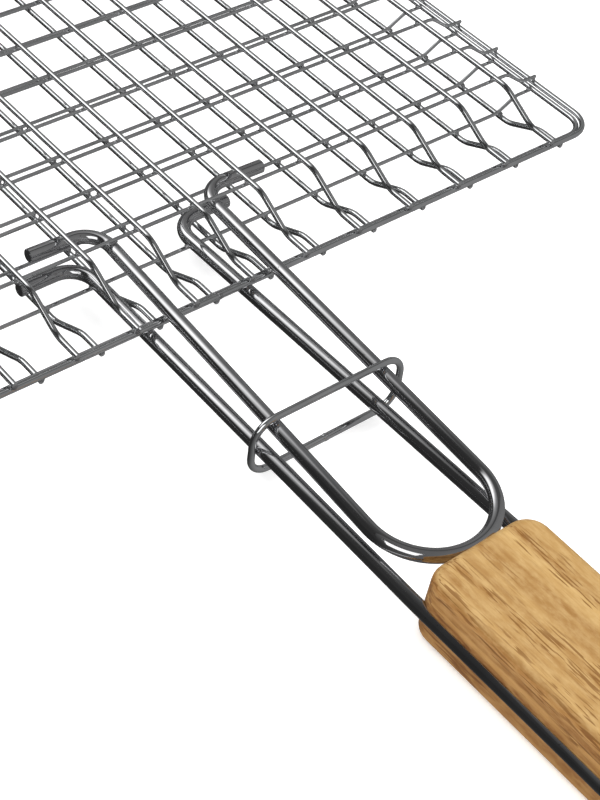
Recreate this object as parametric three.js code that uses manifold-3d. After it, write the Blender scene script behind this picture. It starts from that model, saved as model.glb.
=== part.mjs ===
// Hinged wire grill basket with a wooden grip and a sliding lock ring.
// Millimetres, +Z up. X runs along the front edge, the handle points to -Y and the basket to +Y.
// While the parts are laid out, y = 0 is the axis of the lid's front frame wire and z = 0 is the
// level of the base's frame wire. At the end the group is moved so that its origin is the middle of
// its footprint, at its lowest point.

import * as THREE from 'three';
import { mergeVertices } from 'three/addons/utils/BufferGeometryUtils.js';
import Module from 'manifold-3d';

const wasm = await Module();
wasm.setup();

// ---- Driving dimensions ----

const GAP = 0.3;                    // clearance kept between pieces that are welded or rest together

// The lid's frame closes round the base's, which is smaller all round by the inset.
const frame = {
  width: 330,                       // between the axes of the lid's side wires
  depth: 222.6,                     // between the axes of the lid's front and rear wires
  corner: 10,                       // bend radius of the lid's corners
  radius: 1.0,
  inset: 2.0,
  rise: 1.15,                       // height of the lid's frame over the base's
  seam: -1.5,                       // x of the butt joint in the front wire
};

const longWire = { radius: 1.0, count: 14, tail: 10, shoulder: 24.5, bend: 12 };
const crossWire = { radius: 0.65, count: 9, tail: 6, shoulder: 14.5, bend: 7 };

// The base's mat is a little closer than the lid's and off to one side.
const lidHalf = {
  outward: 1,
  inset: 0,
  frameLevel: frame.rise,
  longPitch: 22,
  longMiddle: -0.15,
  crossPitch: 20.2,
  crossMiddle: 112.4,
  crossLevel: 9.45,
};
const baseHalf = {
  outward: -1,
  inset: frame.inset,
  frameLevel: 0,
  longPitch: 21.7,
  longMiddle: 9.5,
  crossPitch: 20.4,
  crossMiddle: 112.8,
  crossLevel: -6.65,
};

const rod = { radius: 2.3, bend: 9 };

// Each handle loop is a plane U of rod. rootX and level place it at the front frame wire, turn is its
// angle in plan and drop is how steeply it falls towards the hand, both in degrees. Its legs spread
// from half width rootHalf at the frame to endHalf where they become parallel, at distance spread.
const lidLoop = {
  rootX: -0.9,
  level: 4.78,
  turn: -1.62,
  drop: 2.58,
  rootHalf: 20.3,
  endHalf: 20.8,
  spread: 98,
  reach: 120.3,
  inside: 40.8,
  foot: 45,
};
const baseLoop = {
  rootX: -8.1,
  level: -3.75,
  turn: 0.66,
  drop: 0.69,
  rootHalf: 19.2,
  endHalf: 21.2,
  spread: 122,
  reach: 277,
  inside: 40,
  foot: 41,
};

const grip = {
  start: 122.9,                     // from the front frame wire to the grip's inner end
  length: 132,
  width: 41.8,
  offsetX: -0.8,                    // from the middle between the rods
  above: 14.0,                      // grip above the rods' plane
  below: 11.0,                      // grip below the rods' plane
  corner: 7.5,                      // corner radius in plan
  edge: 3.5,                        // rounding of the long and end edges
  lean: 3,                          // how far the ends lean back from square at the top, in degrees
};

const ring = {
  width: 57,
  height: 20.4,
  corner: 7.5,
  radius: 1.15,
  rest: 55,                         // from the front frame wire
  x: -2.8,
  play: 0.6,                        // clearance over the lid's loop
  seam: 0.7,                        // x of the butt joint in the lower run
};

const clip = { x: 94.4, width: 5.6, wall: 0.8 };

// Sides of the polygon that stands for each round wire, and sections in each round bend.
const SIDES = { wire: 6, frame: 8, rod: 12, ring: 10 };
const BEND_STEPS = { wire: 2, frame: 4, rod: 5, ring: 4, loopEnd: 14 };

// ---- Materials ----

const chrome = new THREE.MeshStandardMaterial({ color: 0xc9ccd0, roughness: 0.12, metalness: 1 });
const thickChrome = new THREE.MeshStandardMaterial({ color: 0xb9bcc0, roughness: 0.1, metalness: 1 });
const zincSteel = new THREE.MeshStandardMaterial({ color: 0xa9acb0, roughness: 0.3, metalness: 1 });
const oiledWood = new THREE.MeshStandardMaterial({ color: 0xc79a5b, roughness: 0.55, metalness: 0 });

// ---- Wire building ----

const point = (x, y, z = 0) => new THREE.Vector3(x, y, z);

/** A route with one station for each section of the wire, so that straight runs need only two. */
class WirePath extends THREE.Curve {
  constructor(stations) {
    super();
    this.stations = stations;
  }

  getPoint(t, target = new THREE.Vector3()) {
    const last = this.stations.length - 1;
    const place = t * last;
    const index = Math.min(Math.floor(place), last - 1);
    return target.lerpVectors(this.stations[index], this.stations[index + 1], place - index);
  }

  getPointAt(u, target) {
    return this.getPoint(u, target);
  }

  getTangentAt(u, target = new THREE.Vector3()) {
    const last = this.stations.length - 1;
    const index = Math.round(u * last);
    const here = this.stations[index];
    const before = this.stations[Math.max(index - 1, 0)];
    const after = this.stations[Math.min(index + 1, last)];
    const incoming = here.clone().sub(before).normalize();
    const outgoing = after.clone().sub(here).normalize();
    return target.addVectors(incoming, outgoing).normalize();
  }
}

/** Stations along straight runs through the corners, with a round bend of the given radius at each. */
function bentRoute(corners, radius, steps) {
  const stations = [corners[0]];
  for (let i = 1; i < corners.length - 1; i++) {
    const along = corners[i].clone().sub(corners[i - 1]).normalize();
    const onward = corners[i + 1].clone().sub(corners[i]).normalize();
    const angle = along.angleTo(onward);
    const inward = onward.clone().addScaledVector(along, -along.dot(onward)).normalize();
    const start = corners[i].clone().addScaledVector(along, -radius * Math.tan(angle / 2));
    for (let step = 0; step <= steps; step++) {
      const turned = (angle * step) / steps;
      stations.push(start.clone()
        .addScaledVector(along, radius * Math.sin(turned))
        .addScaledVector(inward, radius * (1 - Math.cos(turned))));
    }
  }
  stations.push(corners[corners.length - 1]);
  return stations;
}

/** A closed solid of wire of the given radius along the stations, with square-cut ends. */
function wireSolid(stations, radius, sides) {
  const outline = [];
  for (let i = 0; i < sides; i++) {
    const angle = (2 * Math.PI * (i + 0.5)) / sides;
    outline.push(new THREE.Vector2(radius * Math.cos(angle), radius * Math.sin(angle)));
  }
  return new THREE.ExtrudeGeometry(new THREE.Shape(outline), {
    steps: stations.length - 1,
    extrudePath: new WirePath(stations),
  });
}

// ---- Frames and mats ----

/** One half's rectangular frame wire, bent round from the butt joint in its front run. */
function frameSolid(half) {
  const side = frame.width / 2 - half.inset;
  const front = half.inset;
  const rear = frame.depth - half.inset;
  const corners = [
    [frame.seam + GAP / 2, front],
    [side, front],
    [side, rear],
    [-side, rear],
    [-side, front],
    [frame.seam - GAP / 2, front],
  ].map(([x, y]) => point(x, y, half.frameLevel));
  const route = bentRoute(corners, frame.corner - half.inset, BEND_STEPS.frame);
  return wireSolid(route, frame.radius, SIDES.frame);
}

/**
 * A mat wire in its own plane: level tails that lie on the frame, a slope, and a level middle.
 * place(along, height) puts a point of the profile in space; along runs from 0 to span.
 */
function matWireSolid(wire, span, tailLevel, middleLevel, place) {
  const profile = [
    [-frame.radius, tailLevel],
    [wire.tail, tailLevel],
    [wire.shoulder, middleLevel],
    [span - wire.shoulder, middleLevel],
    [span - wire.tail, tailLevel],
    [span + frame.radius, tailLevel],
  ];
  const corners = profile.map(([along, height]) => place(along, height));
  return wireSolid(bentRoute(corners, wire.bend, BEND_STEPS.wire), wire.radius, SIDES.wire);
}

/** Positions of evenly spaced wires about a middle. */
function spaced(count, pitch, middle) {
  return Array.from({ length: count }, (_, i) => middle + (i - (count - 1) / 2) * pitch);
}

/** Frame, long wires and cross wires of one half; each mat wire's tails lie on the frame's outer side. */
function addHalf(parent, name, half) {
  addMesh(parent, `${name}_frame`, frameSolid(half), chrome);

  const tailLevel = (wire) => half.frameLevel + half.outward * (frame.radius + GAP + wire.radius);
  const depth = frame.depth - 2 * half.inset;
  const width = frame.width - 2 * half.inset;
  const longLevel = half.crossLevel + half.outward * (crossWire.radius + GAP + longWire.radius);

  spaced(longWire.count, half.longPitch, half.longMiddle).forEach((x, i) => {
    const place = (along, height) => point(x, half.inset + along, height);
    const solid = matWireSolid(longWire, depth, tailLevel(longWire), longLevel, place);
    addMesh(parent, `${name}_long_wire_${String(i + 1).padStart(2, '0')}`, solid, chrome);
  });

  spaced(crossWire.count, half.crossPitch, half.crossMiddle).forEach((y, i) => {
    const place = (along, height) => point(along - width / 2, y, height);
    const solid = matWireSolid(crossWire, width, tailLevel(crossWire), half.crossLevel, place);
    addMesh(parent, `${name}_cross_wire_${i + 1}`, solid, chrome);
  });
}

// ---- Handle loops, grip and lock ring ----

/** A group that lies in a loop's plane, with its own y = 0 at the front frame wire. */
function loopGroup(loop) {
  const group = new THREE.Group();
  group.position.set(loop.rootX, 0, loop.level);
  group.rotation.set(THREE.MathUtils.degToRad(loop.drop), 0, THREE.MathUtils.degToRad(loop.turn));
  return group;
}

/** A U of rod: feet bent outwards inside the basket, two legs, and a half-round end at the hand. */
function loopSolid(loop) {
  const { endHalf, spread, inside, foot } = loop;
  const endCentre = endHalf - loop.reach;
  const ankle = loop.rootHalf - ((endHalf - loop.rootHalf) * inside) / spread;
  const corners = [point(foot, inside), point(ankle, inside), point(endHalf, -spread)];
  const leg = bentRoute(corners, rod.bend, BEND_STEPS.rod);
  leg.push(point(endHalf, endCentre));
  const end = [];
  for (let step = 1; step < BEND_STEPS.loopEnd; step++) {
    const angle = Math.PI + (Math.PI * step) / BEND_STEPS.loopEnd;
    end.push(point(endHalf * Math.cos(angle), endCentre + endHalf * Math.sin(angle)));
  }
  const mirrored = leg.map((station) => point(-station.x, station.y));
  return wireSolid([...mirrored, ...end, ...leg.reverse()], rod.radius, SIDES.rod);
}

/** A solid that manifold-3d can cut. */
function toManifold(geometry) {
  const bare = geometry.clone();
  bare.deleteAttribute('normal');
  bare.deleteAttribute('uv');
  const merged = mergeVertices(bare, 1e-4);
  return new wasm.Manifold(new wasm.Mesh({
    numProp: 3,
    vertProperties: new Float32Array(merged.attributes.position.array),
    triVerts: new Uint32Array(merged.index.array),
  }));
}

function toGeometry(manifold) {
  const mesh = manifold.getMesh();
  const geometry = new THREE.BufferGeometry();
  geometry.setAttribute('position', new THREE.BufferAttribute(new Float32Array(mesh.vertProperties), 3));
  geometry.setIndex(new THREE.BufferAttribute(new Uint32Array(mesh.triVerts), 1));
  geometry.computeVertexNormals();
  return geometry;
}

/** The grip's outline in plan, with round corners. */
function gripOutline(halfWidth, halfLength, corner) {
  const shape = new THREE.Shape();
  shape.moveTo(halfWidth, halfLength - corner);
  shape.absarc(halfWidth - corner, halfLength - corner, corner, 0, Math.PI / 2);
  shape.absarc(corner - halfWidth, halfLength - corner, corner, Math.PI / 2, Math.PI);
  shape.absarc(corner - halfWidth, corner - halfLength, corner, Math.PI, 1.5 * Math.PI);
  shape.absarc(halfWidth - corner, corner - halfLength, corner, 1.5 * Math.PI, 2 * Math.PI);
  return shape;
}

/** The wooden grip in its loop's plane: a block with rounded edges and a groove down each side. */
function gripSolid() {
  const height = grip.above + grip.below;
  const outline = gripOutline(
    grip.width / 2 - grip.edge, grip.length / 2 - grip.edge, grip.corner - grip.edge);
  const block = new THREE.ExtrudeGeometry(outline, {
    depth: height - 2 * grip.edge,
    bevelThickness: grip.edge,
    bevelSize: grip.edge,
    bevelSegments: 4,
    curveSegments: 6,
  });
  const lean = Math.tan(THREE.MathUtils.degToRad(grip.lean));
  block.translate(0, 0, grip.edge - grip.below);
  block.applyMatrix4(new THREE.Matrix4().makeShear(0, 0, 0, 0, 0, -lean));
  block.translate(grip.offsetX, -grip.start - grip.length / 2, 0);

  const past = 10;                  // how far each groove's cutter runs past the ends of the block
  let wood = toManifold(block);
  for (const side of [-1, 1]) {
    const x = side * baseLoop.endHalf;
    const route = [point(x, past - grip.start), point(x, -past - grip.start - grip.length)];
    wood = wood.subtract(toManifold(wireSolid(route, rod.radius + GAP, SIDES.rod)));
  }
  return toGeometry(wood);
}

/** The lock ring in its own X-Z plane: one wire bent to a rounded rectangle, butted in its lower run. */
function ringSolid() {
  const halfWidth = ring.width / 2;
  const halfHeight = ring.height / 2;
  const corners = [
    point(ring.seam + GAP / 2, 0, -halfHeight),
    point(halfWidth, 0, -halfHeight),
    point(halfWidth, 0, halfHeight),
    point(-halfWidth, 0, halfHeight),
    point(-halfWidth, 0, -halfHeight),
    point(ring.seam - GAP / 2, 0, -halfHeight),
  ];
  return wireSolid(bentRoute(corners, ring.corner, BEND_STEPS.ring), ring.radius, SIDES.ring);
}

// ---- Rear clips ----

/** A stadium outline round two wires, at a given distance from their surfaces. */
function stadium(target, spread, radius) {
  target.absarc(0, spread, radius, 0, Math.PI);
  target.absarc(0, -spread, radius, Math.PI, 2 * Math.PI);
  target.closePath();
  return target;
}

/** A sheet-steel band that wraps both rear frame wires and lets the lid's wire turn inside it. */
function clipSolid() {
  const spread = Math.hypot(frame.inset, frame.rise) / 2;
  const inner = frame.radius + GAP;
  const outline = stadium(new THREE.Shape(), spread, inner + clip.wall);
  outline.holes.push(stadium(new THREE.Path(), spread, inner));
  const band = new THREE.ExtrudeGeometry(outline, {
    depth: clip.width,
    bevelEnabled: false,
    curveSegments: 6,
  });
  band.translate(0, 0, -clip.width / 2);
  band.rotateX(Math.PI / 2);
  band.rotateZ(Math.PI / 2);
  band.rotateX(-Math.atan2(frame.inset, frame.rise));
  return band;
}

// ---- Assembly ----

function addMesh(parent, name, geometry, material) {
  const mesh = new THREE.Mesh(geometry, material);
  mesh.name = name;
  parent.add(mesh);
  return mesh;
}

const basket = new THREE.Group();

addHalf(basket, 'base', baseHalf);
addHalf(basket, 'lid', lidHalf);

const lidHandle = loopGroup(lidLoop);
addMesh(lidHandle, 'lid_handle_loop', loopSolid(lidLoop), thickChrome);
basket.add(lidHandle);

const baseHandle = loopGroup(baseLoop);
addMesh(baseHandle, 'base_handle_loop', loopSolid(baseLoop), thickChrome);
addMesh(baseHandle, 'wooden_grip', gripSolid(), oiledWood);
basket.add(baseHandle);

// The ring hangs upright on the lid's loop, a little above it for play.
const lockRing = addMesh(basket, 'lock_ring', ringSolid(), chrome);
const loopLevel = lidLoop.level - ring.rest * Math.tan(THREE.MathUtils.degToRad(lidLoop.drop));
const ringTop = loopLevel + rod.radius + ring.play + ring.radius;
lockRing.position.set(ring.x, -ring.rest, ringTop - ring.height / 2);

for (const [name, side] of [['hinge_clip_left', -1], ['hinge_clip_right', 1]]) {
  const band = addMesh(basket, name, clipSolid(), zincSteel);
  band.position.set(side * clip.x, frame.depth - frame.inset / 2, frame.rise / 2);
}

// The origin goes to the middle of the footprint, at the lowest point.
basket.updateMatrixWorld(true);
const extent = new THREE.Box3().setFromObject(basket, true);
const middle = extent.getCenter(new THREE.Vector3());
basket.position.set(-middle.x, -middle.y, -extent.min.z);
basket.updateMatrixWorld(true);

export default basket;
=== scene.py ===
"""Looks for the hinged wire grill basket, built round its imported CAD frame."""

import math
import random

import bpy
import numpy as np
from mathutils import Matrix, Vector


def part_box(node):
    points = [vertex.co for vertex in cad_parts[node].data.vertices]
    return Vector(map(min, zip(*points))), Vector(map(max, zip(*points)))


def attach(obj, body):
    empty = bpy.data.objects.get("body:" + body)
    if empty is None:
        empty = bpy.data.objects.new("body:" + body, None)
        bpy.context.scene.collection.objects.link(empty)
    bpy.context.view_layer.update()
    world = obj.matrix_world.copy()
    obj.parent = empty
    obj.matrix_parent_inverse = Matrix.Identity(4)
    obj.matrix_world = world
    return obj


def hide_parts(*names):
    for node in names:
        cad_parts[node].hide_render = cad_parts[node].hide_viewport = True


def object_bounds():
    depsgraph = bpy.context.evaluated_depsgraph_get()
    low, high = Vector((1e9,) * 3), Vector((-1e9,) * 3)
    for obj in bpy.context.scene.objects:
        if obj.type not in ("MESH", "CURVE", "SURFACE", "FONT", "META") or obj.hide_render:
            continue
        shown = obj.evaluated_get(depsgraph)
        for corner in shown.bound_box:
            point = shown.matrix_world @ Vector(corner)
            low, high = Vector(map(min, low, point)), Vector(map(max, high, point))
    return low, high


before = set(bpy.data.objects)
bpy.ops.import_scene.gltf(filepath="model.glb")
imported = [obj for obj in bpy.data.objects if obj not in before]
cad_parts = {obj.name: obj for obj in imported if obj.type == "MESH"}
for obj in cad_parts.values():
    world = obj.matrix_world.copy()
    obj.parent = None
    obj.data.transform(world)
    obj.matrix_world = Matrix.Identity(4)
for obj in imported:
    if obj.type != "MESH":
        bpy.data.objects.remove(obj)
cad_low, cad_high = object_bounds()

MM = 0.001
UP = (0.0, 0.0, 1.0)

# ---- Layout: the CAD's driving dimensions, in mm ----
# In the layout y = 0 is the axis of the lid's front frame wire and z = 0 the level of the base's frame.

GAP = 0.3
FRAME = dict(width=330.0, depth=222.6, corner=10.0, radius=1.0, inset=2.0, rise=1.15, seam=-1.5)
LONG = dict(radius=1.0, count=14, tail=10.0, shoulder=24.5, bend=12.0)
CROSS = dict(radius=0.65, count=9, tail=6.0, shoulder=14.5, bend=7.0)
LID = dict(name="lid", outward=1, inset=0.0, level=1.15, long_pitch=22.0, long_middle=-0.15,
           cross_pitch=20.2, cross_middle=112.4, cross_level=9.45, seed=11)
BASE = dict(name="base", outward=-1, inset=2.0, level=0.0, long_pitch=21.7, long_middle=9.5,
            cross_pitch=20.4, cross_middle=112.8, cross_level=-6.65, seed=23)
ROD = dict(radius=2.3, bend=9.0)
LID_LOOP = dict(root_x=-0.9, level=4.78, turn=-1.62, drop=2.58, root_half=20.3, end_half=20.8,
                spread=98.0, reach=120.3, inside=40.8, foot=45.0)
BASE_LOOP = dict(root_x=-8.1, level=-3.75, turn=0.66, drop=0.69, root_half=19.2, end_half=21.2,
                 spread=122.0, reach=277.0, inside=40.0, foot=41.0)
GRIP = dict(start=122.9, length=132.0, width=41.8, offset_x=-0.8, above=14.0, below=11.0,
            corner=7.5, edge=3.5, lean=3.0, crown=0.25, least_corner=0.6)
GROOVE = dict(radius=ROD["radius"] + 0.12, lip=0.25)
RING = dict(width=57.0, height=20.4, corner=7.5, radius=1.15, rest=55.0, x=-2.8, play=0.6, seam=0.7, seed=5)
CLIP = dict(x=94.4, width=5.6, wall=0.8, soft_edge=0.22)

# How finely round things are divided, and the longest straight stretch between two stations.
SIDES = dict(mat=14, frame=18, ring=20, rod=28, collar=16)
BEND_STEPS = dict(mat=5, frame=10, ring=14, rod=14)
LOOP_END_STEPS = 40
GRIP_STEPS = dict(corner=8, edge=8, groove=16, end_runs=6, side_runs=26, flat_rings=6)
CLIP_STEPS = dict(edge=3, bend=12)
WIRE_RUN = 12.0
ROD_RUN = 25.0

# Traces of the making: half the gap of a butt joint, the bow of straightened wire, and the broken
# edge of a cut end as a share of the radius.
BUTT = 0.1
BOW = 0.10
CUT = dict(mat=0.16, frame=0.1, rod=0.12)
# Half-sizes of the weld lumps, how far the one on a long wire's front end lies from the frame weld
# beside it, and how far the ones between rod and cross wire lie from the cross wire's axis.
LUMP = dict(crossing=(1.0, 0.95, 0.55), long_tail=(0.95, 0.9, 0.5), long_end=(1.12, 0.62, 1.05),
            cross_tail=(0.8, 0.8, 0.42), rod=(1.9, 1.1, 0.6))
LONG_END = dict(forward=0.62, outward=0.3)
ROD_LUMP = 0.8
# The flash of the two kinds of butt joint: lengths, and its girth as a share of the wire's.
COLLAR = dict(frame=1.6, ring=2.2, swell=1.08, taper=0.5, uneven=(0.97, 1.05))

frame_low, frame_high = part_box("lid_frame")
OFFSET = np.array([
    (frame_low.x + frame_high.x) / 2 / MM,
    frame_low.y / MM + FRAME["radius"],
    (frame_low.z + frame_high.z) / 2 / MM - FRAME["rise"],
])

# ---- Camera: its place in the layout, and its turn in degrees ----

CAMERA = dict(place=(-292.66, -337.40, 396.93), turn=(45.3005, -5.6851, -38.9398), lens=86.16, sensor=36.0)

camera_data = bpy.data.cameras.new("camera")
camera_data.lens = CAMERA["lens"]
camera_data.sensor_width = CAMERA["sensor"]
camera_data.clip_start = 0.01
camera_data.clip_end = 60.0
camera = bpy.data.objects.new("camera", camera_data)
camera.location = (np.array(CAMERA["place"]) + OFFSET) * MM
camera.rotation_euler = [math.radians(angle) for angle in CAMERA["turn"]]
bpy.context.scene.collection.objects.link(camera)
bpy.context.scene.camera = camera

# ---- Mesh building ----


class Shape:
    """Vertices in layout mm, faces, and each vertex's place on the straight wire it was bent from."""

    def __init__(self):
        self.points, self.faces, self.drawn = [], [], []

    def add(self, points, faces, drawn):
        first = len(self.points)
        self.points.extend(points)
        self.drawn.extend(drawn)
        self.faces.extend([tuple(first + i for i in face) for face in faces])

    def moved(self, matrix):
        turn = np.array(matrix.to_3x3())
        shift = np.array(matrix.translation)
        self.points = [turn @ np.array(point) + shift for point in self.points]
        return self


def unit(vector):
    return vector / np.linalg.norm(vector)


def bent_route(corners, radius, steps):
    """Straight runs through the corners, with a round bend at each."""
    corners = [np.array(corner, float) for corner in corners]
    route = [corners[0]]
    for before, here, after in zip(corners, corners[1:], corners[2:]):
        along, onward = unit(here - before), unit(after - here)
        angle = math.acos(max(-1.0, min(1.0, float(along @ onward))))
        inward = unit(onward - along * (along @ onward))
        start = here - along * radius * math.tan(angle / 2)
        for step in range(steps + 1):
            turned = angle * step / steps
            route.append(start + along * radius * math.sin(turned)
                         + inward * radius * (1 - math.cos(turned)))
    route.append(corners[-1])
    return route


def divided(route, longest):
    """The route with more stations, so that no run is longer than that."""
    result = [route[0]]
    for here, there in zip(route, route[1:]):
        count = max(1, math.ceil(np.linalg.norm(there - here) / longest))
        result.extend(here + (there - here) * (i + 1) / count for i in range(count))
    return result


def random_wave(rng):
    """A wave's rate in radians per mm, its phase and its relative size."""
    return rng.uniform(0.02, 0.06), rng.uniform(0, 6.28), rng.uniform(0.4, 1.0)


def wobbled(route, normal, rng, amount):
    """The slight unevenness of wire that was straightened from a coil."""
    side = np.array(normal, float)
    waves = [random_wave(rng) for _ in range(3)]
    travelled, result = 0.0, [route[0]]
    total = sum(np.linalg.norm(there - here) for here, there in zip(route, route[1:]))
    for here, there in zip(route, route[1:]):
        travelled += np.linalg.norm(there - here)
        ease = math.sin(math.pi * travelled / total)
        wave = sum(size * math.sin(rate * travelled + phase) for rate, phase, size in waves)
        result.append(there + side * amount * ease * wave / 2)
    return result


def tube_faces(rows, size):
    """Faces that join each row of points to the next, and one at either end."""
    faces = []
    for row in range(rows - 1):
        for i in range(size):
            here, beside = row * size + i, row * size + (i + 1) % size
            faces.append((here, beside, beside + size, here + size))
    faces.append(tuple(reversed(range(size))))
    last = (rows - 1) * size
    faces.append(tuple(range(last, last + size)))
    return faces


def wire(shape, route, radius, sides, normal, cut=CUT["mat"], start_along=0.0):
    """Round wire along a route in one plane, with cut ends whose edges are slightly broken."""
    route = [np.array(point, float) for point in route]
    chamfer = cut * radius
    first, last = unit(route[1] - route[0]), unit(route[-1] - route[-2])
    stations = [route[0], route[0] + first * chamfer, *route[1:-1], route[-1] - last * chamfer, route[-1]]
    radii = [radius * (1 - cut)] + [radius] * (len(stations) - 2) + [radius * (1 - cut)]
    across = unit(np.array(normal, float))
    points, drawn = [], []
    along = start_along
    for i, (here, size) in enumerate(zip(stations, radii)):
        incoming = here - stations[i - 1] if i else stations[1] - here
        outgoing = stations[i + 1] - here if i + 1 < len(stations) else incoming
        tangent = unit(unit(incoming) + unit(outgoing))
        if i:
            along += np.linalg.norm(incoming)
        side = np.cross(tangent, across)
        for corner in range(sides):
            angle = 2 * math.pi * (corner + 0.5) / sides
            cos, sin = math.cos(angle), math.sin(angle)
            points.append(here + (across * cos + side * sin) * size)
            drawn.append((radius * cos, radius * sin, along))
    shape.add(points, tube_faces(len(stations), sides), drawn)
    return shape


def nugget(shape, centre, radii, rng):
    """A small uneven lump of weld."""
    rows, columns = 6, 10
    phase = [rng.uniform(0, 6.28) for _ in range(4)]
    points, faces = [(0, 0, 1)], []
    for row in range(1, rows):
        polar = math.pi * row / rows
        for column in range(columns):
            turn = 2 * math.pi * column / columns
            uneven = 1 + 0.10 * math.sin(3 * turn + phase[0]) * math.sin(2 * polar + phase[1])
            uneven += 0.06 * math.sin(2 * turn + phase[2])
            points.append((uneven * math.sin(polar) * math.cos(turn),
                           uneven * math.sin(polar) * math.sin(turn), math.cos(polar)))
    points.append((0, 0, -1))
    last_row = 1 + (rows - 2) * columns
    for column in range(columns):
        following = (column + 1) % columns
        faces.append((0, 1 + column, 1 + following))
        for row in range(rows - 2):
            here, beside = 1 + row * columns + column, 1 + row * columns + following
            faces.append((here, here + columns, beside + columns, beside))
        faces.append((last_row + following, last_row + column, len(points) - 1))
    size = np.array(radii) * rng.uniform(0.9, 1.1)
    placed = [np.array(centre) + np.array(point) * size for point in points]
    shape.add(placed, faces, [tuple(point) for point in placed])


def collar(shape, centre, along, radius, length, rng):
    """The ground-down flash round a butt weld in a level run of wire."""
    centre, along = np.array(centre), unit(np.array(along, float))
    route = [centre + along * length * share for share in np.linspace(-0.5, 0.5, 5)]
    first = len(shape.points)
    wire(shape, route, radius, SIDES["collar"], UP, cut=CUT["frame"])
    for i in range(first, len(shape.points)):
        offset = shape.points[i] - centre
        axial = along * (offset @ along)
        narrowing = 1 - COLLAR["taper"] * (offset @ along / length) ** 2
        swell = COLLAR["swell"] * narrowing * rng.uniform(*COLLAR["uneven"])
        shape.points[i] = centre + axial + (offset - axial) * swell


def piece(name, shape, body, slot, material, *nodes, matrix=None, smooth=32):
    """An object from a shape. With a matrix the shape is in that frame, in mm; without, in the layout."""
    mesh = bpy.data.meshes.new(name)
    shift = OFFSET if matrix is None else np.zeros(3)
    points = (np.array(shape.points, float) + shift) * MM
    mesh.from_pydata(points.tolist(), [], shape.faces)
    drawn = mesh.attributes.new("drawn", "FLOAT_VECTOR", "POINT")
    drawn.data.foreach_set("vector", np.array(shape.drawn, np.float32).ravel())
    mesh.polygons.foreach_set("use_smooth", [True] * len(mesh.polygons))
    mesh.validate()
    mesh.set_sharp_from_angle(angle=math.radians(smooth))
    mesh.materials.append(material)
    made = bpy.data.objects.new(name, mesh)
    bpy.context.scene.collection.objects.link(made)
    if matrix is not None:
        made.matrix_world = matrix
    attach(made, body)
    if nodes:
        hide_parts(*nodes)


# ---- Materials ----


class NodeKit:
    """Short names for building one material's nodes."""

    def __init__(self, name):
        self.material = bpy.data.materials.new(name)
        self.material.use_nodes = True
        self.tree = self.material.node_tree
        self.shader = self.tree.nodes["Principled BSDF"]

    def link(self, source, target):
        self.tree.links.new(source, target)

    def finish(self, name, source):
        """Links a source to one of the shader's sockets, or sets the socket's own value."""
        self.value(self.shader.inputs[name], source)

    def value(self, target, source):
        if isinstance(source, (int, float, tuple)):
            target.default_value = source
        else:
            self.link(source, target)

    def place(self, scale, attribute=None, shift=(0, 0, 0)):
        """Object coordinates, or an attribute's, stretched by a scale."""
        if attribute:
            node = self.tree.nodes.new("ShaderNodeAttribute")
            node.attribute_name = attribute
            source = node.outputs["Vector"]
        else:
            source = self.tree.nodes.new("ShaderNodeTexCoord").outputs["Object"]
        mapping = self.tree.nodes.new("ShaderNodeMapping")
        mapping.inputs["Scale"].default_value = scale
        mapping.inputs["Location"].default_value = shift
        self.link(source, mapping.inputs["Vector"])
        return mapping.outputs["Vector"]

    def split(self, vector):
        """A vector's three parts."""
        node = self.tree.nodes.new("ShaderNodeSeparateXYZ")
        self.link(vector, node.inputs[0])
        return node.outputs

    def noise(self, vector, detail=2.0, roughness=0.5, distortion=0.0):
        node = self.tree.nodes.new("ShaderNodeTexNoise")
        node.inputs["Scale"].default_value = 1.0
        node.inputs["Detail"].default_value = detail
        node.inputs["Roughness"].default_value = roughness
        node.inputs["Distortion"].default_value = distortion
        self.link(vector, node.inputs["Vector"])
        return node.outputs["Fac"]

    def bands(self, source, detail):
        """Noise along one number."""
        node = self.tree.nodes.new("ShaderNodeTexNoise")
        node.noise_dimensions = "1D"
        node.inputs["Scale"].default_value = 1.0
        node.inputs["Detail"].default_value = detail
        self.link(source, node.inputs["W"])
        return node.outputs["Fac"]

    def math(self, operation, first, second=0.0):
        node = self.tree.nodes.new("ShaderNodeMath")
        node.operation = operation
        self.value(node.inputs[0], first)
        self.value(node.inputs[1], second)
        return node.outputs[0]

    def ramp(self, source, low, high, to_low=0.0, to_high=1.0):
        node = self.tree.nodes.new("ShaderNodeMapRange")
        node.interpolation_type = "SMOOTHSTEP"
        for socket, value in zip(("From Min", "From Max", "To Min", "To Max"), (low, high, to_low, to_high)):
            node.inputs[socket].default_value = value
        self.link(source, node.inputs["Value"])
        return node.outputs["Result"]

    def mix(self, factor, first, second, blend="MIX"):
        node = self.tree.nodes.new("ShaderNodeMix")
        node.data_type = "RGBA"
        node.blend_type = blend
        self.value(node.inputs["Factor"], factor)
        for socket, colour in ((node.inputs[6], first), (node.inputs[7], second)):
            self.value(socket, (*colour, 1.0) if isinstance(colour, tuple) else colour)
        return node.outputs[2]

    def bump(self, height, strength, distance, normal=None):
        node = self.tree.nodes.new("ShaderNodeBump")
        node.inputs["Strength"].default_value = strength
        node.inputs["Distance"].default_value = distance
        self.link(height, node.inputs["Height"])
        if normal is not None:
            self.link(normal, node.inputs["Normal"])
        return node.outputs["Normal"]


WHITE = (1.0, 1.0, 1.0, 1.0)
BLACK = (0.0, 0.0, 0.0, 1.0)


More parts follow.
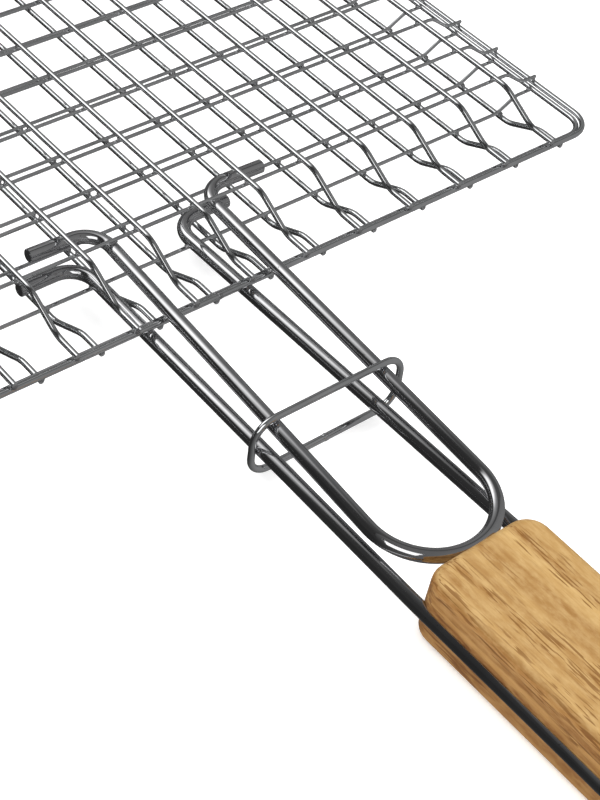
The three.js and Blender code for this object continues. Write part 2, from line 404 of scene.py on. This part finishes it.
def plated(name, bright, dull, stain, smooth, rough, line_scale):
    """Plated steel: die lines along the wire, cloudy handling marks and a few pits in the plating."""
    kit = NodeKit(name)
    lines = kit.noise(kit.place((line_scale, line_scale, 0.05), "drawn"), detail=3.0, roughness=0.6)
    clouds = kit.noise(kit.place((45.0, 45.0, 45.0)), detail=4.0, roughness=0.6)
    pits = kit.ramp(kit.noise(kit.place((0.9, 0.9, 0.55), "drawn")), 0.71, 0.76)
    colour = kit.mix(kit.ramp(clouds, 0.35, 0.65), bright, dull)
    streaked = kit.ramp(lines, 0.3, 0.7, smooth, rough)
    fine_relief = kit.bump(lines, 0.12, 0.00001)
    kit.finish("Base Color", kit.mix(kit.math("MULTIPLY", pits, 0.45), colour, stain))
    kit.finish("Roughness", kit.math("ADD", streaked, kit.math("MULTIPLY", pits, 0.08)))
    kit.finish("Normal", kit.bump(clouds, 0.12, 0.00004, fine_relief))
    kit.finish("Metallic", 1.0)
    return kit.material


def mottled_metal(name, scale, graininess, distortion, pale, dark, smooth, rough, relief, depth):
    """Metal whose colour, gloss and relief follow one fine pattern."""
    kit = NodeKit(name)
    pattern = kit.noise(kit.place((scale, scale, scale), "drawn"), 3.0, graininess, distortion)
    kit.finish("Base Color", kit.mix(kit.ramp(pattern, 0.3, 0.7), pale, dark))
    kit.finish("Roughness", kit.ramp(pattern, 0.3, 0.7, smooth, rough))
    kit.finish("Normal", kit.bump(pattern, relief, depth))
    kit.finish("Metallic", 1.0)
    return kit.material


# The tree's heart, in metres from the grip's axis, and how many growth bands go to a metre.
TREE = dict(across=0.041, down=0.065, bands=230.0, warp=0.009)
# Wood tints. side is painted shade, multiplied into the grip's upright faces.
TINT = dict(pale=(0.458, 0.289, 0.107), dark=(0.285, 0.151, 0.045), streak=(0.235, 0.108, 0.024),
            mottle=(0.535, 0.372, 0.167), fibre=(0.24, 0.110, 0.026), pore=(0.165, 0.068, 0.014),
            side=(0.90, 0.66, 0.36))


def oiled_wood(name):
    """Honey-coloured hardwood: growth bands and fibres along the length, short dark open pores, and painted
    shade on the upright faces.
    """
    kit = NodeKit(name)

    def grain(across, along, shift=(0, 0, 0), **settings):
        return kit.noise(kit.place((across, along, across), shift=shift), **settings)

    warp = grain(22.0, 7.0)
    place = kit.split(kit.place((1.0, 1.0, 1.0)))
    across = kit.math("ADD", place[0], TREE["across"])
    down = kit.math("ADD", place[2], TREE["down"])
    square = kit.math("ADD", kit.math("MULTIPLY", across, across), kit.math("MULTIPLY", down, down))
    distance = kit.math("ADD", kit.math("SQRT", square), kit.math("MULTIPLY", warp, TREE["warp"]))
    band = kit.bands(kit.math("MULTIPLY", distance, TREE["bands"]), detail=2.0)

    fibres = grain(1500.0, 90.0, detail=4.0, roughness=0.7)
    mottle = grain(420.0, 170.0, shift=(1.0, 9.0, 4.0), detail=3.0, roughness=0.65)
    streaks = grain(230.0, 10.0, shift=(3.1, 0.4, 1.7), detail=3.0, distortion=0.3)
    clusters = grain(120.0, 20.0, shift=(0.7, 2.2, 0.0))
    dashes = grain(1500.0, 110.0, shift=(5.0, 0.0, 2.0), detail=1.0)
    pores = kit.math("MULTIPLY", kit.ramp(dashes, 0.53, 0.61), kit.ramp(clusters, 0.44, 0.56))

    colour = kit.mix(kit.ramp(band, 0.32, 0.68), TINT["pale"], TINT["dark"])
    for pattern, low, high, share, tint in ((streaks, 0.48, 0.66, 0.80, "streak"),
                                            (mottle, 0.35, 0.70, 0.45, "mottle"),
                                            (fibres, 0.35, 0.75, 0.30, "fibre")):
        colour = kit.mix(kit.ramp(pattern, low, high, 0.0, share), colour, TINT[tint])
    colour = kit.mix(kit.math("MULTIPLY", pores, 0.80), colour, TINT["pore"])
    # Painted shade: the grip's upright faces, its sides and ends, are multiplied by the side tint, so they
    # come out darker and more saturated than the top.
    facing = kit.split(kit.tree.nodes.new("ShaderNodeNewGeometry").outputs["True Normal"])
    side_shade_share = kit.ramp(kit.math("ABSOLUTE", facing[2]), 0.35, 0.80, 0.65, 0.0)
    kit.finish("Base Color", kit.mix(side_shade_share, colour, TINT["side"], "MULTIPLY"))
    kit.finish("Roughness", kit.ramp(band, 0.3, 0.7, 0.46, 0.60))
    fibre_relief = kit.bump(fibres, 0.25, 0.00008)
    kit.finish("Normal", kit.bump(kit.math("SUBTRACT", 1.0, pores), 0.35, 0.0001, fibre_relief))
    kit.finish("Specular IOR Level", 0.3)
    return kit.material


WIRE = plated("wire_chrome", bright=(0.82, 0.83, 0.84), dull=(0.70, 0.71, 0.72), stain=(0.16, 0.15, 0.14),
              smooth=0.04, rough=0.09, line_scale=3.2)
THICK = plated("thick_chrome", bright=(0.66, 0.66, 0.67), dull=(0.56, 0.56, 0.57), stain=(0.14, 0.13, 0.12),
               smooth=0.045, rough=0.09, line_scale=2.2)
WELD = mottled_metal("weld_metal", scale=2.2, graininess=0.65, distortion=0.0, pale=(0.62, 0.62, 0.63),
                     dark=(0.36, 0.36, 0.37), smooth=0.16, rough=0.34, relief=0.6, depth=0.0002)
ZINC = mottled_metal("zinc_steel", scale=0.8, graininess=0.7, distortion=0.6, pale=(0.60, 0.62, 0.64),
                     dark=(0.44, 0.45, 0.47), smooth=0.24, rough=0.42, relief=0.25, depth=0.00005)
WOOD = oiled_wood("oiled_wood")

# ---- Frames and mats ----


def spaced(count, pitch, middle):
    """Evenly spaced places on both sides of the middle."""
    return [middle + (i - (count - 1) / 2) * pitch for i in range(count)]


def frame_wire(half, side, rear):
    inset, seam = half["inset"], FRAME["seam"]
    corners = [(seam + BUTT, inset), (side, inset), (side, rear), (-side, rear), (-side, inset),
               (seam - BUTT, inset)]
    route = bent_route([(x, y, half["level"]) for x, y in corners], FRAME["corner"] - inset,
                       BEND_STEPS["frame"])
    return wire(Shape(), route, FRAME["radius"], SIDES["frame"], UP, cut=CUT["frame"])


def mat_wire(kind, span, tail_level, middle_level, place, normal, rng):
    """A wire from one frame wire to the opposite one, bent to the mat's level between them."""
    profile = [(-FRAME["radius"], tail_level), (kind["tail"], tail_level), (kind["shoulder"], middle_level),
               (span - kind["shoulder"], middle_level), (span - kind["tail"], tail_level),
               (span + FRAME["radius"], tail_level)]
    route = bent_route([place(along, height) for along, height in profile], kind["bend"], BEND_STEPS["mat"])
    route = wobbled(divided(route, WIRE_RUN), normal, rng, BOW)
    return wire(Shape(), route, kind["radius"], SIDES["mat"], normal, start_along=rng.uniform(0, 400))


def mat_pieces(half, side, rear, long_places, cross_places, rng):
    name, outward, inset = half["name"], half["outward"], half["inset"]
    long_tail = half["level"] + outward * (FRAME["radius"] + GAP + LONG["radius"])
    cross_tail = half["level"] + outward * (FRAME["radius"] + GAP + CROSS["radius"])
    long_level = half["cross_level"] + outward * (CROSS["radius"] + GAP + LONG["radius"])
    for i, x in enumerate(long_places):
        node = f"{name}_long_wire_{i + 1:02d}"
        shape = mat_wire(LONG, rear - inset, long_tail, long_level,
                         lambda along, height: (x, inset + along, height), (1, 0, 0), rng)
        piece(f"{node}_chrome", shape, name, "wire_chrome", WIRE, node)
    for i, y in enumerate(cross_places):
        node = f"{name}_cross_wire_{i + 1}"
        shape = mat_wire(CROSS, 2 * side, cross_tail, half["cross_level"],
                         lambda along, height: (along - side, y, height), (0, 1, 0), rng)
        piece(f"{node}_chrome", shape, name, "wire_chrome", WIRE, node)


def loop_matrix(loop):
    """From a loop's own plane to the layout, in mm."""
    return (Matrix.Translation((loop["root_x"], 0.0, loop["level"]))
            @ Matrix.Rotation(math.radians(loop["drop"]), 4, "X")
            @ Matrix.Rotation(math.radians(loop["turn"]), 4, "Z"))


def rod_welds(welds, half, loop, places_and_levels, rng):
    """Lumps where a loop's two rods cross a wire, at each of those places along the rods."""
    matrix = loop_matrix(loop)
    slope = (loop["end_half"] - loop["root_half"]) / loop["spread"]
    for y, level in places_and_levels:
        for side_sign in (-1, 1):
            crossing = matrix @ Vector((side_sign * (loop["root_half"] - slope * y), y, 0.0))
            nugget(welds, (crossing.x, y, level), LUMP["rod"], rng)


def weld_shape(half, side, rear, long_places, cross_places, rng):
    """Every weld lump of one half, and the flash round its frame's butt joint."""
    outward, inset = half["outward"], half["inset"]
    crossing_level = half["cross_level"] + outward * (CROSS["radius"] + GAP / 2)
    on_frame = half["level"] + outward * (FRAME["radius"] + GAP / 2)
    welds = Shape()
    for x in long_places:
        for y in cross_places:
            nugget(welds, (x, y, crossing_level), LUMP["crossing"], rng)
    for x in long_places:
        for y in (inset, rear):
            nugget(welds, (x, y, on_frame), LUMP["long_tail"], rng)
        wire_end = (x, inset - LONG_END["forward"], on_frame + outward * LONG_END["outward"])
        nugget(welds, wire_end, LUMP["long_end"], rng)
    for y in cross_places:
        for x in (-side, side):
            nugget(welds, (x, y, on_frame), LUMP["cross_tail"], rng)
    loop = LID_LOOP if half is LID else BASE_LOOP
    on_cross_wire = half["cross_level"] - outward * ROD_LUMP
    rod_welds(welds, half, loop, ((inset, on_frame), (cross_places[0], on_cross_wire)), rng)
    collar(welds, (FRAME["seam"], inset, half["level"]), (1, 0, 0), FRAME["radius"], COLLAR["frame"], rng)
    return welds


def half_pieces(half):
    name = half["name"]
    rng = random.Random(half["seed"])
    side, rear = FRAME["width"] / 2 - half["inset"], FRAME["depth"] - half["inset"]
    long_places = spaced(LONG["count"], half["long_pitch"], half["long_middle"])
    cross_places = spaced(CROSS["count"], half["cross_pitch"], half["cross_middle"])
    piece(f"{name}_frame_wire", frame_wire(half, side, rear), name, "wire_chrome", WIRE, f"{name}_frame")
    mat_pieces(half, side, rear, long_places, cross_places, rng)
    welds = weld_shape(half, side, rear, long_places, cross_places, rng)
    piece(f"{name}_welds", welds, name, "wire_chrome", WELD, smooth=60)


for half in (BASE, LID):
    half_pieces(half)

# ---- Handle loops ----


def loop_shape(loop):
    """One rod: a foot, a leg, the round end, and the same again mirrored."""
    end_half, spread, inside, foot = loop["end_half"], loop["spread"], loop["inside"], loop["foot"]
    end_centre = end_half - loop["reach"]
    ankle = loop["root_half"] - (end_half - loop["root_half"]) * inside / spread
    leg = bent_route([(foot, inside, 0), (ankle, inside, 0), (end_half, -spread, 0)], ROD["bend"],
                     BEND_STEPS["rod"])
    leg.append(np.array([end_half, end_centre, 0.0]))
    end = []
    for i in range(1, LOOP_END_STEPS):
        angle = math.pi + math.pi * i / LOOP_END_STEPS
        end.append(np.array([end_half * math.cos(angle), end_centre + end_half * math.sin(angle), 0.0]))
    mirrored = [point * np.array([-1.0, 1.0, 1.0]) for point in leg]
    route = divided([*mirrored, *end, *reversed(leg)], ROD_RUN)
    return wire(Shape(), route, ROD["radius"], SIDES["rod"], UP, cut=CUT["rod"])


for name, body, loop in (("lid_handle_loop", "lid", LID_LOOP), ("base_handle_loop", "base", BASE_LOOP)):
    piece(f"{name}_chrome", loop_shape(loop).moved(loop_matrix(loop)), body, "thick_chrome", THICK, name)

# ---- Grip ----


def on_circle(centre_x, centre_y, radius, degrees):
    angle = math.radians(degrees)
    return np.array([centre_x + radius * math.cos(angle), centre_y + radius * math.sin(angle)])


def grip_outline(inset):
    """The grip seen from above, drawn in by the inset, with its straight sides divided."""
    radius = max(GRIP["corner"] - inset, GRIP["least_corner"])
    x, y = GRIP["width"] / 2 - inset - radius, GRIP["length"] / 2 - inset - radius
    corners = ((x, y, 0), (-x, y, 90), (-x, -y, 180), (x, -y, 270))
    points = []
    for i, (corner_x, corner_y, first_angle) in enumerate(corners):
        angles = np.linspace(first_angle, first_angle + 90, GRIP_STEPS["corner"] + 1)
        points.extend(on_circle(corner_x, corner_y, radius, angle) for angle in angles)
        next_x, next_y, next_angle = corners[(i + 1) % 4]
        start, end = points[-1], on_circle(next_x, next_y, radius, next_angle)
        runs = GRIP_STEPS["side_runs"] if i % 2 else GRIP_STEPS["end_runs"]
        points.extend((1 - run / runs) * start + run / runs * end for run in range(1, runs))
    return points


def grip_layers():
    """Each layer's height and inset, from the middle of the underside up to the middle of the top."""
    edge, above, below = GRIP["edge"], GRIP["above"], GRIP["below"]
    quarter = np.linspace(0, math.pi / 2, GRIP_STEPS["edge"] + 1)
    rounding = [(edge * (1 - math.cos(angle)), edge * (1 - math.sin(angle))) for angle in quarter]
    groove_angles = np.linspace(-math.pi / 2, math.pi / 2, GRIP_STEPS["groove"] + 1)
    groove = [GROOVE["radius"] * math.sin(angle) for angle in groove_angles]
    groove += [-GROOVE["radius"] - GROOVE["lip"], GROOVE["radius"] + GROOVE["lip"]]
    layers = [(rise - below, inset) for rise, inset in rounding]
    layers += [(above - drop, inset) for drop, inset in rounding]
    layers += [(height, 0.0) for height in groove]
    layers = sorted({(round(height, 5), round(inset, 5)) for height, inset in layers})
    shares = np.linspace(0.18, 0.94, GRIP_STEPS["flat_rings"])
    flat = GRIP["width"] / 2 - edge
    underside = [(-below, edge + share * flat) for share in reversed(shares)]
    top = [(above + GRIP["crown"] * share, edge + share * flat) for share in shares]
    return [*underside, *layers, *top]


def grip_shape():
    """Layers of the plan outline from below to above, with a groove for the rod along each side."""
    lean = math.tan(math.radians(GRIP["lean"]))
    layers = grip_layers()
    points, drawn = [], []
    for height, inset in layers:
        for x, y in grip_outline(inset):
            x += GRIP["offset_x"]
            if abs(height) < GROOVE["radius"]:
                reach = BASE_LOOP["end_half"] - math.sqrt(GROOVE["radius"] ** 2 - height ** 2)
                x = max(-reach, min(reach, x))
            points.append(np.array([x, y - GRIP["start"] - GRIP["length"] / 2 - lean * height, height]))
            drawn.append((x, height, y))
    shape = Shape()
    shape.add(points, tube_faces(len(layers), len(points) // len(layers)), drawn)
    return shape


to_row = Matrix.Translation(OFFSET * MM)
grip_matrix = loop_matrix(BASE_LOOP)
grip_matrix.translation = grip_matrix.translation * MM
piece("wooden_grip_oiled", grip_shape(), "base", "oiled_wood", WOOD, "wooden_grip",
      matrix=to_row @ grip_matrix, smooth=40)

# ---- Lock ring ----


def ring_shape():
    """A rounded rectangle of wire that stands upright round the rods, closed in its lower run."""
    half_width, half_height, seam = RING["width"] / 2, RING["height"] / 2, RING["seam"]
    corners = [(seam + BUTT, -half_height), (half_width, -half_height), (half_width, half_height),
               (-half_width, half_height), (-half_width, -half_height), (seam - BUTT, -half_height)]
    loop_level = LID_LOOP["level"] - RING["rest"] * math.tan(math.radians(LID_LOOP["drop"]))
    middle = loop_level + ROD["radius"] + RING["play"] + RING["radius"] - half_height
    route = bent_route([(x + RING["x"], -RING["rest"], z + middle) for x, z in corners], RING["corner"],
                       BEND_STEPS["ring"])
    shape = wire(Shape(), divided(route, WIRE_RUN), RING["radius"], SIDES["ring"], (0, 1, 0),
                 cut=CUT["frame"])
    joint = (seam + RING["x"], -RING["rest"], middle - half_height)
    collar(shape, joint, (1, 0, 0), RING["radius"], COLLAR["ring"], random.Random(RING["seed"]))
    return shape


piece("lock_ring_chrome", ring_shape(), "lock_ring", "wire_chrome", WIRE, "lock_ring", smooth=40)

# ---- Rear clips ----


def strip_section():
    """The strip's cross-section, across and out from its inner face, with rounded edges."""
    half, wall, soft = CLIP["width"] / 2, CLIP["wall"], CLIP["soft_edge"]
    section = []
    for across, out, first_angle in ((half - soft, wall - soft, 0), (soft - half, wall - soft, 90),
                                     (soft - half, soft, 180), (half - soft, soft, 270)):
        for angle in np.linspace(first_angle, first_angle + 90, CLIP_STEPS["edge"] + 1):
            section.append(on_circle(across, out, soft, angle))
    return section


def clip_shape(centre_x):
    """A strip bent round both rear frame wires."""
    spread = math.hypot(FRAME["inset"], FRAME["rise"]) / 2
    inner = FRAME["radius"] + GAP
    tilt = -math.atan2(FRAME["inset"], FRAME["rise"])
    cos, sin = math.cos(tilt), math.sin(tilt)
    centre_y, centre_z = FRAME["depth"] - FRAME["inset"] / 2, FRAME["rise"] / 2
    half_turn = np.linspace(0, math.pi, CLIP_STEPS["bend"] + 1)
    around = [(spread, angle) for angle in half_turn] + [(-spread, math.pi + angle) for angle in half_turn]
    row_length = 0.6
    section = strip_section()
    points, drawn, faces = [], [], []
    for row, (middle, angle) in enumerate(around):
        for across, out in section:
            level = (inner + out) * math.cos(angle)
            rise = middle + (inner + out) * math.sin(angle)
            y, z = level * cos - rise * sin, level * sin + rise * cos
            points.append(np.array([centre_x + across, centre_y + y, centre_z + z]))
            drawn.append((across, out, row * row_length))
    size = len(section)
    for row in range(len(around)):
        here, there = row * size, (row + 1) % len(around) * size
        for i in range(size):
            after = (i + 1) % size
            faces.append((here + i, there + i, there + after, here + after))
    shape = Shape()
    shape.add(points, faces, drawn)
    return shape


for name, sign in (("hinge_clip_left", -1), ("hinge_clip_right", 1)):
    piece(f"{name}_zinc", clip_shape(sign * CLIP["x"]), "base", "zinc_steel", ZINC, name)

# ---- Floor, light and world, in metres ----

FLOOR = dict(reach=12.0, drop=0.0002, glow=0.3)
# The reflected ceiling's edges, and its height above the base's frame.
CEILING = dict(left=-1.6, right=1.4, near=0.05, far=1.6, height=0.6)
# What bright metal reflects of the rest of the studio: dark to the rear left, pale to the front right.
STUDIO = dict(towards=(0.70, -0.70, 0.15), span=0.8, dark=0.03, pale=0.235)


def sheet(name, left, right, near, far, material):
    """A flat stage object."""
    mesh = bpy.data.meshes.new(name)
    mesh.from_pydata([(left, near, 0), (right, near, 0), (right, far, 0), (left, far, 0)], [], [(0, 1, 2, 3)])
    mesh.materials.append(material)
    made = bpy.data.objects.new(name, mesh)
    bpy.context.scene.collection.objects.link(made)
    return made


def paper():
    """Matt white paper, slightly luminous so that shadows stay faint."""
    kit = NodeKit("floor_paper")
    tooth = kit.noise(kit.place((900.0, 900.0, 900.0)))
    kit.finish("Base Color", kit.mix(tooth, (0.90, 0.90, 0.90), (0.93, 0.93, 0.93)))
    kit.finish("Roughness", 0.9)
    kit.finish("Specular IOR Level", 0.1)
    kit.finish("Emission Color", WHITE)
    kit.finish("Emission Strength", FLOOR["glow"])
    return kit.material


def ceiling_glow():
    """Bright at the left and fading to the right, with a soft slanted edge in front."""
    kit = NodeKit("ceiling_glow")
    place = kit.split(kit.place((1.0, 1.0, 1.0)))
    across, back = place[0], place[1]
    broad = kit.ramp(across, -0.60, 0.50, 1.30, 0.17)
    left_boost = kit.ramp(across, -0.20, 0.20, 0.90, 0.0)
    left_end = kit.ramp(across, -0.85, -0.15)
    slanted = kit.math("SUBTRACT", kit.math("ADD", back, kit.math("MULTIPLY", across, 0.35)), 0.085)
    straight = kit.math("SUBTRACT", back, 0.08)
    front_edge = kit.ramp(kit.math("MINIMUM", slanted, straight), 0.03, 0.23)
    rear_boost = kit.ramp(back, 0.38, 0.56, 0.95, 1.15)
    rear_end = kit.ramp(back, 1.10, 1.60, 1.0, 0.1)
    glow = kit.math("ADD", broad, left_boost)
    for factor in (left_end, front_edge, rear_boost, rear_end):
        glow = kit.math("MULTIPLY", glow, factor)
    least = kit.ramp(across, -0.40, 0.60, 0.04, 0.10)
    kit.finish("Emission Strength", kit.math("MAXIMUM", glow, least))
    kit.finish("Emission Color", WHITE)
    kit.finish("Base Color", BLACK)
    kit.finish("Specular IOR Level", 0.0)
    return kit.material


def soft_box(name, place, target, size, power, glossy=True):
    data = bpy.data.lights.new(name, "AREA")
    data.size, data.energy = size, power
    light = bpy.data.objects.new(name, data)
    light.location = place
    light.rotation_euler = (Vector(target) - light.location).to_track_quat("-Z", "Y").to_euler()
    light.visible_camera = False
    light.visible_glossy = glossy
    bpy.context.scene.collection.objects.link(light)


def studio_world():
    world = bpy.data.worlds.new("studio")
    bpy.context.scene.world = world
    world.use_nodes = True
    tree = world.node_tree
    facing = tree.nodes.new("ShaderNodeVectorMath")
    facing.operation = "DOT_PRODUCT"
    facing.inputs[1].default_value = STUDIO["towards"]
    tree.links.new(tree.nodes.new("ShaderNodeTexCoord").outputs["Generated"], facing.inputs[0])
    shade = tree.nodes.new("ShaderNodeMapRange")
    limits = (-STUDIO["span"], STUDIO["span"], STUDIO["dark"], STUDIO["pale"])
    for socket, value in zip(("From Min", "From Max", "To Min", "To Max"), limits):
        shade.inputs[socket].default_value = value
    tree.links.new(facing.outputs["Value"], shade.inputs["Value"])
    tree.links.new(shade.outputs["Result"], tree.nodes["Background"].inputs["Color"])


floor = sheet("floor", -FLOOR["reach"], FLOOR["reach"], -FLOOR["reach"], FLOOR["reach"], paper())
floor.location.z = cad_low.z - FLOOR["drop"]
floor.visible_glossy = False

# The ceiling is above the rear of the basket, and only bright metal and gloss pick it up.
ceiling = sheet("ceiling", CEILING["left"], CEILING["right"], CEILING["near"], CEILING["far"], ceiling_glow())
ceiling.location = Vector(OFFSET * MM) + Vector((0.0, 0.0, CEILING["height"]))
ceiling.visible_camera = False
ceiling.visible_diffuse = False
ceiling.visible_shadow = False

soft_box("overhead_box", place=(0.0, 0.1, 2.2), target=(0.0, 0.1, 0.0), size=4.0, power=138.0, glossy=False)
soft_box("left_box", place=(-1.0, -0.6, 1.0), target=(0.0, -0.15, 0.0), size=1.0, power=5.0)
studio_world()
bpy.context.scene.view_settings.view_transform = "Standard"
